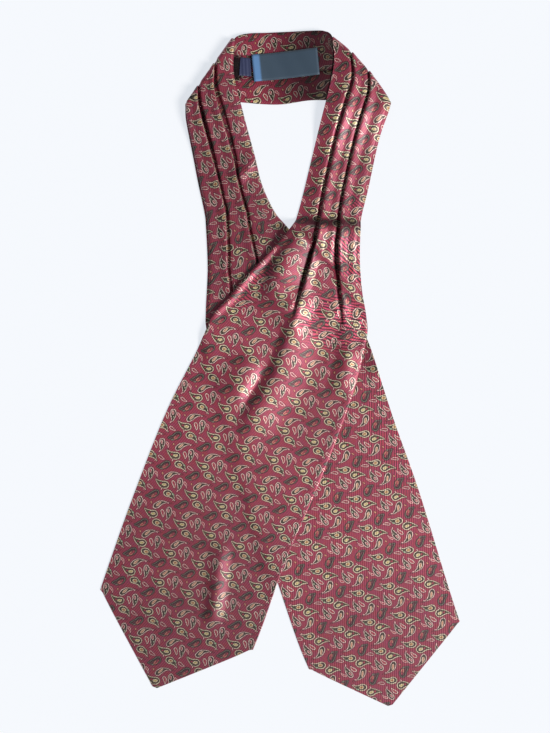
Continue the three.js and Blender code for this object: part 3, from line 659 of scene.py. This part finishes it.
def foldSection(width, row, lay):
    # one section from the inner edge, as (distance in plan, height, cloth counted in, its own
    # distance in plan for the print)
    folds = [(1 - row[5]) * width, (1 - row[4]) * width]
    real, rise = row[6], row[7]
    turn = layerStep / 2
    closed = ease(real / pleat["opensBy"])
    spread = min(pleat["spread"], width / 12)
    gapShare = ease(((row[1] + row[3]) / 2 - pleat["gapFrom"]) / pleat["gapRun"])
    gap = mix(lay["gap"], lay["gapTop"], gapShare)
    ends = folds + [width]
    line = []
    start = hidden = 0.0
    for strip, end in enumerate(ends):
        first, last = strip == 0, strip == 2
        before, counted = hidden, 2 * real * strip
        hidden = 0.0 if last else min(real, pleat["hidden"] * (ends[strip + 1] - end))
        begin = 0.0 if first else start + mix(spread, turn, closed)
        stop = width if last else end + mix(-spread, hidden - turn, closed)
        flatTo = begin if first else start + mix(spread, before + 0.6, closed)
        downAt = width - 0.3 * spread if last else end + mix(-1.6 * spread, -gap, closed)
        top = 0.0 if first else 2 * layerStep * rise
        steepRun = mix(0.8 * (downAt - flatTo), min(lay["steep"], 0.5 * (downAt - flatTo)), closed)
        diveAt = downAt - steepRun
        # on the first strip the places lie closer together at the sheet's own edge
        crowd = 1.25 if first else 1.0
        spots = [mix(begin, diveAt, (k / pleat["flatSteps"]) ** crowd)
                 for k in range(pleat["flatSteps"])]
        spots += [mix(diveAt, downAt, k / pleat["steepSteps"]) for k in range(pleat["steepSteps"])]
        spots += [mix(downAt, stop, k / pleat["tailSteps"]) for k in range(pleat["tailSteps"] + 1)]
        for a in spots:
            # gently down along the strip, then steeply where it goes under the next pleat
            part = min(1.0, max(0.0, (a - flatTo) / max(0.5, downAt - flatTo)))
            stays = 1 - ease((a - downAt + steepRun) / max(0.5, steepRun))
            if not first:
                swell = lay["puff"] * closed * rise * (1 - ease((a - begin) / pleat["run"]))
            elif lay["arch"] > 0:
                # low at the sheet's own edge, up towards the first pleat
                swell = lay["arch"] * closed * ease(part * 1.1) * stays
            else:
                # up at the sheet's own edge, down towards the first pleat
                swell = -lay["arch"] * closed * ease(a / 3 + 0.3) * (1 - 0.1 * part) * stays
            height = top * (1 - lay["gentle"] * part) * stays + swell
            line.append((a, height, counted, min(a, end)))
        if not last:
            # back towards the strip, then up and over into the next one
            foldTop = 2 * layerStep * rise + lay["puff"] * closed * rise
            halfWay = pleat["turnSteps"] // 2
            for k in range(1, pleat["turnSteps"]):
                t = k / pleat["turnSteps"]
                if k < halfWay:
                    angle = math.radians(-90 + 180 * k / halfWay)
                    fx = end + hidden - turn + turn * math.cos(angle)
                    fz = turn + turn * math.sin(angle)
                elif k == halfWay:
                    fx, fz = end + hidden * 0.5, 2 * turn
                else:
                    angle = math.radians(-90 + 180 * (k - halfWay) / halfWay)
                    half = (foldTop - 2 * turn) / 2
                    fx = end + 0.25 - 0.25 * math.cos(angle)
                    fz = 2 * turn + half + half * math.sin(angle)
                openX = end - spread + 2 * spread * t
                openZ = foldTop * ease(t)
                line.append((mix(openX, fx, closed), mix(openZ, fz, closed), counted + 2 * real * t,
                             mix(openX, end, closed)))
        start = end
    return line


def outlineGap(outline, x, y):
    # how far a place is from an outline, below 0 inside it
    nearest, inside = 1e9, False
    ax, ay = outline[-1]
    for bx, by in outline:
        dx, dy = bx - ax, by - ay
        t = min(1.0, max(0.0, ((x - ax) * dx + (y - ay) * dy) / (dx * dx + dy * dy + 1e-9)))
        nearest = min(nearest, math.hypot(x - ax - dx * t, y - ay - dy * t))
        if (ay > y) != (by > y) and x < ax + (y - ay) / (by - ay) * dx:
            inside = not inside
        ax, ay = bx, by
    return -nearest if inside else nearest


def foldHeight(folds, x, y):
    # the soft forms' heights added up at one place
    total = 0.0
    for fold in folds:
        best, run, ahead, side = 1e9, 0.0, 0.0, 0.0
        path = fold["path"]
        for (ax, ay), (bx, by) in zip(path, path[1:]):
            dx, dy = bx - ax, by - ay
            length = math.hypot(dx, dy)
            t = min(1.0, max(0.0, ((x - ax) * dx + (y - ay) * dy) / (length * length)))
            away = math.hypot(x - ax - dx * t, y - ay - dy * t)
            if away < best:
                best, run = away, ahead + length * t
                side = dx * (y - ay) - dy * (x - ax)
            ahead += length
        reach = fold["right"] if side > 0 else fold["left"]
        fade = (ease(run / fold.get("lead", 16) + 0.12)
                * ease((ahead - run) / fold.get("tail", 16) + 0.12))
        total += fold["high"] * fade * (1 - ease(best / reach))
    return total


def bandLift(x):
    # the neckband sags between its two stiff corners
    return band["liftLeft"] * ease((-8 - x) / 32) + band["liftRight"] * ease((x + 4) / 48)


def onBand(row, x, y):
    # the silk comes down off the neckband as it leaves the corner fold
    return ((band["height"] + bandLift(x)) * row[9]
            * ease((y - band["lower"] + band["run"]) / band["run"]))


underRows = denseRows(leftEnd)
underOutline = ([(r[0], r[1]) for r in underRows[4:]] + [leftEnd["point"]]
                + [(r[2], r[3]) for r in reversed(underRows[4:])])[::2]


def leftRest(row, x, y, fromInner, width):
    return onBand(row, x, y) + foldHeight(leftFolds, x, y)


def rightRest(row, x, y, fromInner, width):
    # the silk below it, the strong crease across, the roll along the inner edge, the soft forms
    rise = ease((y - cover["foot"]) / cover["footRun"])
    top = clothWall + cover["gap"] + rise * (2 * layerStep + leftEnd["puff"])
    covered = 1 - ease((outlineGap(underOutline, x, y) - cover["margin"]) / cover["run"])
    past = y - crease["y"] - crease["slope"] * (x - crease["x"])
    pinch = crease["high"] * (1 - ease(abs(past) / (crease["above"] if past > 0 else crease["below"])))
    rollIn = ease((roll["top"] - y) / roll["topRun"]) * ease((y - roll["foot"]) / roll["footRun"])
    if fromInner < roll["crest"]:
        rollAt = ease(fromInner / roll["crest"] + 0.35)
    else:
        rollAt = 1 - ease((fromInner - roll["crest"]) / roll["width"])
    rimIn = ease((rim["top"] - y) / rim["topRun"]) * ease((y - rim["foot"]) / rim["footRun"])
    fromOuter = width - fromInner
    if fromOuter < rim["crest"]:
        rimAt = ease(fromOuter / rim["crest"] + 0.2)
    else:
        rimAt = 1 - ease((fromOuter - rim["crest"]) / rim["width"])
    return (onBand(row, x, y) + covered * top + pinch + roll["high"] * rollIn * rollAt
            + rim["high"] * rimIn * rimAt + foldHeight(rightFolds, x, y))


def inFrame(x, y, frame):
    # a step in plan as millimetres of print, across and down
    flat, down = frame
    area = flat.x * down.y - flat.y * down.x
    return (x * down.y - y * down.x) / area, (flat.x * y - flat.y * x) / area


def printFrames(end, middles):
    # which way the print runs at each section, across and down, even round the corner fold
    cross, along = Vector(end["cross"]), Vector(end["along"])
    last = len(middles) - 1
    corner = next(j for j, middle in enumerate(middles) if middle[1] < cornerAt)
    frames = []
    for k in range(len(middles)):
        j = max(k, corner)
        ahead = Vector(middles[min(last, j + 4)]) - Vector(middles[j - 4])
        ahead = ahead.normalized() if ahead.length > 0.01 else along
        free = ease((end["turnsAt"] - middles[j][1]) / 60)
        down = (ahead * (1 - free) + along * free).normalized()
        flat = (Vector((-down.y, down.x)) * (1 - free) + cross * free).normalized()
        frames.append((flat, down))
    return frames


def printWalk(middles, frames):
    # the print's place at each section's middle, walked along the middle line
    walk = [(0.0, 0.0)]
    for j in range(len(middles) - 1):
        step = Vector(middles[j + 1]) - Vector(middles[j])
        if step.dot(frames[j][1]) < 0:
            step = -step
        du, dv = inFrame(step.x, step.y, frames[j])
        walk.append((walk[-1][0] + du, walk[-1][1] + dv))
    return walk


def layEnd(end, rest, paint):
    # a whole end of the cravat as one sheet, its print carried along the cloth
    rows = denseRows(end)
    middles = [((r[0] + r[2]) / 2, (r[1] + r[3]) / 2) for r in rows]
    frames = printFrames(end, middles)
    walk = printWalk(middles, frames)
    places, prints = [], []
    for j, row in enumerate(rows):
        inner, outer = Vector(row[2:4]), Vector(row[0:2])
        width = (outer - inner).length
        side = (outer - inner) / width
        up = Vector((-side.y, side.x)) if side.x > 0 else Vector((side.y, -side.x))
        overU, overV = inFrame(side.x, side.y, frames[j])
        lean = 1.0 if overU > 0 else -1.0
        for a, z, counted, own in foldSection(math.dist(row[0:2], row[2:4]), row, end):
            share = min(1.0, max(0.0, a / width))
            flatAt = inner + side * a + up * (row[8] * 4 * share * (1 - share))
            z += clothWall / 2 + rest(row, flatAt.x, flatAt.y, a, width)
            places.append((flatAt.x * mm, flatAt.y * mm, z * mm))
            u = walk[j][0] + (own - width / 2) * overU + lean * (counted - 2 * row[6])
            v = walk[j][1] + (own - width / 2) * overV
            prints.append((u, v))
    # the print is set so that one known place has a known share of the repeat
    atX, atY = end["anchor"]
    near = min(range(len(places)),
               key=lambda k: math.hypot(places[k][0] / mm - atX, places[k][1] / mm - atY))
    offX, offY = atX - places[near][0] / mm, atY - places[near][1] / mm
    offU, offV = inFrame(offX, offY, (Vector(end["cross"]), Vector(end["along"])))
    nearU, nearV = prints[near][0] + offU, prints[near][1] + offV
    prints = [((u - nearU) * end["sign"], (v - nearV) * end["sign"]) for u, v in prints]
    return makeSheet(end["name"], len(places) // len(rows), len(rows), places, prints, paint)


def makeSheet(name, columns, rows, places, prints, paint):
    # a grid laid on the places worked out for it, then given the cloth's thickness
    bm = bmesh.new()
    bmesh.ops.create_grid(bm, x_segments=columns - 1, y_segments=rows - 1, size=1.0)
    cloth = bm.loops.layers.uv.new("cloth")
    spots = {}
    for vert in bm.verts:
        i = round((vert.co.x + 1) / 2 * (columns - 1))
        j = round((vert.co.y + 1) / 2 * (rows - 1))
        spots[vert] = j * columns + i
    for vert, spot in spots.items():
        vert.co = places[spot]
    for face in bm.faces:
        face.smooth = True
        for loop in face.loops:
            loop[cloth].uv = prints[spots[loop.vert]]
    bm.normal_update()
    if sum(face.normal.z * face.calc_area() for face in bm.faces) < 0:
        bmesh.ops.reverse_faces(bm, faces=bm.faces)
    mesh = bpy.data.meshes.new(name)
    bm.to_mesh(mesh)
    bm.free()
    piece = bpy.data.objects.new(name, mesh)
    scene.collection.objects.link(piece)
    mesh.materials.append(paint)
    wall = piece.modifiers.new("wall", "SOLIDIFY")
    wall.thickness = clothWall * mm
    wall.offset = 0.0
    return piece


rightSheet = layEnd(rightEnd, rightRest, crossingSilk)
leftSheet = layEnd(leftEnd, leftRest, bladeSilk)
print("both ends are laid:", len(rightSheet.data.vertices), "and",
      len(leftSheet.data.vertices), "places")


# Sections across the neckband from left to right: lower folded edge x, y, upper folded edge x, y,
# and how far the lower and the upper turned flap come back over it.
neckband = {
    "height": 3.0, "print": 12.0, "steps": 10, "flapSteps": 9, "turnSteps": 6, "sag": 0.5,
    "rows": [
        (-72.0, 236.5, -41.0, 282.6, 21, 18.5),
        (-55.0, 232.8, -37.6, 288.3, 21, 18.5),
        (-35.7, 232.2, -27.5, 291.3, 21.2, 18.8),
        (-14.0, 230.9, -10.0, 292.4, 23.5, 22),
        (2.6, 230.9, 6.1, 293.0, 24.5, 32),
        (24.4, 233.5, 32.2, 293.2, 24.5, 33.5),
        (44.0, 233.4, 39.0, 292.4, 25, 33),
        (66.0, 233.4, 43.4, 290.2, 25, 33),
        (86.0, 236.5, 46.5, 284.2, 25, 32),
    ],
}


def bandSection(tall, lower, upper):
    # the lower flap, round the lower fold, the back, round the upper fold, the upper flap
    turn = (neckband["height"] - clothWall) / 2 - 0.1
    shares = [k / (neckband["flapSteps"] - 1) for k in range(neckband["flapSteps"])]
    angles = [math.pi * k / neckband["turnSteps"] for k in range(1, neckband["turnSteps"])]
    sag = neckband["sag"]
    line = [(mix(lower, turn, t), 2 * turn - sag * (1 - ease(t * 3))) for t in shares]
    line += [(turn - turn * math.sin(angle), turn + turn * math.cos(angle)) for angle in angles]
    line += [(mix(turn, tall - turn, t), 0.0) for t in shares]
    line += [(tall - turn + turn * math.sin(angle), turn - turn * math.cos(angle)) for angle in angles]
    line += [(mix(tall - turn, tall - upper, t), 2 * turn - sag * (1 - ease((1 - t) * 3)))
             for t in shares]
    return line


def layBand(paint):
    rows = neckband["rows"]
    stations = []
    for i in range(len(rows) - 1):
        near = rowsAround(rows, i)
        for k in range(neckband["steps"]):
            t = k / neckband["steps"]
            stations.append([between(*(row[c] for row in near), t) for c in range(4)]
                            + [mix(near[1][c], near[2][c], t) for c in (4, 5)])
    stations.append(list(rows[-1]))
    places, prints = [], []
    for row in stations:
        low, high = Vector(row[0:2]), Vector(row[2:4])
        tall = (high - low).length
        up = (high - low) / tall
        middle = low + up * tall / 2
        line = bandSection(tall, row[4], row[5])
        arc = 0.0
        for k, (a, z) in enumerate(line):
            if k:
                arc += math.hypot(a - line[k - 1][0], z - line[k - 1][1])
            spot = low + up * a
            places.append((spot.x * mm, spot.y * mm, (z + clothWall / 2 + bandLift(spot.x)) * mm))
            prints.append((middle.x + neckband["print"], arc))
    return makeSheet("neckbandSilk", len(places) // len(stations), len(stations), places, prints,
                     paint)


bandSheet = layBand(bandSilk)
print("neckband is laid:", len(bandSheet.data.vertices), "places")


def plainWeave(name, code, roughness, litEnd, litCode):
    # a close ribbon weave
    paint = bpy.data.materials.new(name)
    paint.use_nodes = True
    tree = paint.node_tree
    shader = tree.nodes["Principled BSDF"]
    place = node(tree, "ShaderNodeUVMap", -900, uv_map="cloth")
    threads = noise(tree, place.outputs["UV"], 2.2, 2.0, 0.5, -600)
    dark, pale = (tuple(c * share for c in rgb(code)[:3]) + (1.0,) for share in (0.72, 1.28))
    woven = layOver(tree, dark, pale, threads.outputs["Fac"])
    # painted highlight: the near end of the ribbon is painted paler, as if turned up to the light, the
    # far end as if away from it
    parts = node(tree, "ShaderNodeSeparateXYZ", -700)
    tree.links.new(place.outputs["UV"], parts.inputs[0])
    up = node(tree, "ShaderNodeMapRange", -500, interpolation_type="SMOOTHSTEP")
    up.inputs["From Min"].default_value = litEnd + 1.2
    up.inputs["From Max"].default_value = litEnd - 1.2
    tree.links.new(parts.outputs["X"], up.inputs["Value"])
    woven = layOver(tree, woven, rgb(litCode), up.outputs[0])
    tree.links.new(woven, shader.inputs["Base Color"])
    shader.inputs["Roughness"].default_value = roughness
    shader.inputs["Sheen Weight"].default_value = 0.2
    return paint


blueLabel = {"name": "blueLabel", "length": 57.0, "width": 23.4, "tilt": 5.5, "x": 4.8, "y": 263.9,
             "z": 3.35, "thick": 0.45, "bow": 0.7}
navyLabel = {"name": "navyLabel", "length": 10.2, "width": 15.8, "tilt": -4.0, "x": -29.8, "y": 262.6,
             "z": 1.35, "thick": 0.4, "bow": 0.2}


def makeLabel(label, paint):
    across, along = 30, 12
    tilt = math.radians(label["tilt"])
    places, prints = [], []
    for j in range(along):
        for i in range(across):
            s, t = i / (across - 1) - 0.5, j / (along - 1) - 0.5
            x, y = s * label["length"], t * label["width"]
            lift = label["bow"] * math.cos(s * math.pi) * (1 - 1.5 * t * t)
            lift += 0.12 * math.sin(s * 21 + 4 * t)
            places.append(((label["x"] + x * math.cos(tilt) - y * math.sin(tilt)) * mm,
                           (label["y"] + x * math.sin(tilt) + y * math.cos(tilt)) * mm,
                           (label["z"] + lift + bandLift(label["x"] + x)) * mm))
            prints.append((x, y))
    piece = makeSheet(label["name"], across, along, places, prints, paint)
    piece.modifiers["wall"].thickness = label["thick"] * mm
    return piece


blue = makeLabel(blueLabel, plainWeave("blueRibbon", "#2d4051", 0.6, -22.0, "#5079a6"))
navy = makeLabel(navyLabel, plainWeave("navyRibbon", "#20294c", 0.6, -9.0, "#20294c"))
print("two plain labels are sewn on")


# what each piece stands for: it is fixed to the root body, and those solids are hidden
for piece, solids, slot in (
        (rightSheet, ["right_neck_end", "over_blade"], "silk"),
        (leftSheet, ["left_neck_end", "under_blade"], "silk"),
        (bandSheet, ["neckband"], "silk"),
        (blue, ["brand_label"], "blue_label"),
        (navy, ["care_label"], "navy_label")):
    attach(piece, "root")
    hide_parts(*solids)
